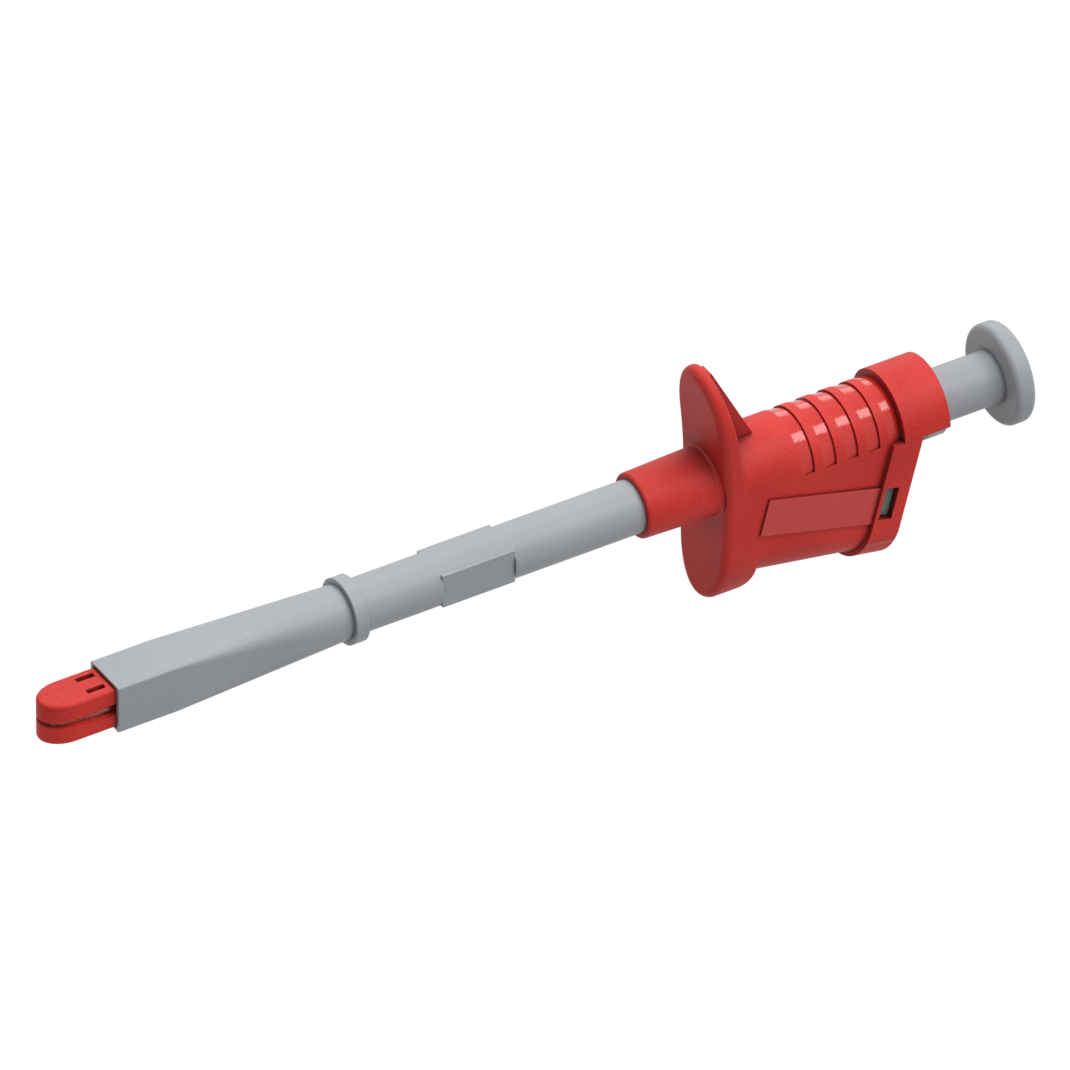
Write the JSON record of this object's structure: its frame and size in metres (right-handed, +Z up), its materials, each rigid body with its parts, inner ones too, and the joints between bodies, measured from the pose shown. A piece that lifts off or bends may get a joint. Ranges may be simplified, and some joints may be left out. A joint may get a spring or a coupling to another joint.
{
  "type": "insulated plunger test clip",
  "caption": "Long insulated plunger clip: a sprung thumb plunger pushes two coupled red jaws out of a square grey nose and opens them; rear safety socket, finger flange.",
  "frame": {"origin": "between the closed jaws, 5 mm behind their tips, on the shaft's axis, where a conductor is gripped", "axes": "+X along the shaft's axis from the jaws to the thumb cap, +Z up (the socket housing hangs to -Z), Y across"},
  "size_m": [0.1592, 0.0152, 0.0412],
  "materials": {
    "red_body": "fine spark-eroded grain",
    "red_jaw": "fine grain",
    "grey_sleeve": "smooth satin",
    "grey_insert": "smooth satin",
    "grey_plunger": "smooth satin",
    "nickel_plated": "nickel-plated brass",
    "brass": "turned, bare",
    "washer": "turned nylon",
    "spring_steel": "drawn spring wire and strip",
    "steel_pins": "ground"
  },
  "bodies": {
    "housing": {"handle_shell": "red_body", "rear_insert": "grey_insert", "shaft_tube": "grey_sleeve", "nose_sleeve": "grey_sleeve", "tube_circlip": "spring_steel", "socket_contact": "nickel_plated", "contact_link": "brass", "wiper_bush": "brass", "spring_washer": "washer", "return_spring": "spring_steel"},
    "plunger": {"thumb_plunger": "grey_plunger", "push_rod": "brass", "stem_pin": "steel_pins", "fork_pin": "steel_pins", "jaw_fork": "nickel_plated", "pivot_pin": "steel_pins", "spreader_spring": "spring_steel"},
    "upper_jaw": {"upper_jaw_boot": "red_jaw", "upper_jaw_lever": "nickel_plated"},
    "lower_jaw": {"lower_jaw_boot": "red_jaw", "lower_jaw_lever": "nickel_plated"}
  },
  "joints": [
    {"name": "plunger_slide", "type": "slide", "parent": "housing", "child": "plunger", "axis": [-1, 0, 0], "range_m": [0, 0.01], "stiffness_N_per_m": 300, "springref_m": -0.006, "deforming": ["return_spring"]},
    {"name": "upper_jaw_pivot", "type": "hinge", "parent": "plunger", "child": "upper_jaw", "pos_m": [0.0218, 0, 0], "axis": [0, 1, 0], "range_deg": [0, 15], "deforming": ["spreader_spring"]},
    {"name": "lower_jaw_pivot", "type": "hinge", "parent": "plunger", "child": "lower_jaw", "pos_m": [0.0218, 0, 0], "axis": [0, -1, 0], "range_deg": [0, 15]}
  ],
  "couplings": [
    {"joint": "upper_jaw_pivot", "follows": "plunger_slide", "rad_per_m": 26.17},
    {"joint": "lower_jaw_pivot", "follows": "plunger_slide", "rad_per_m": 26.17}
  ]
}
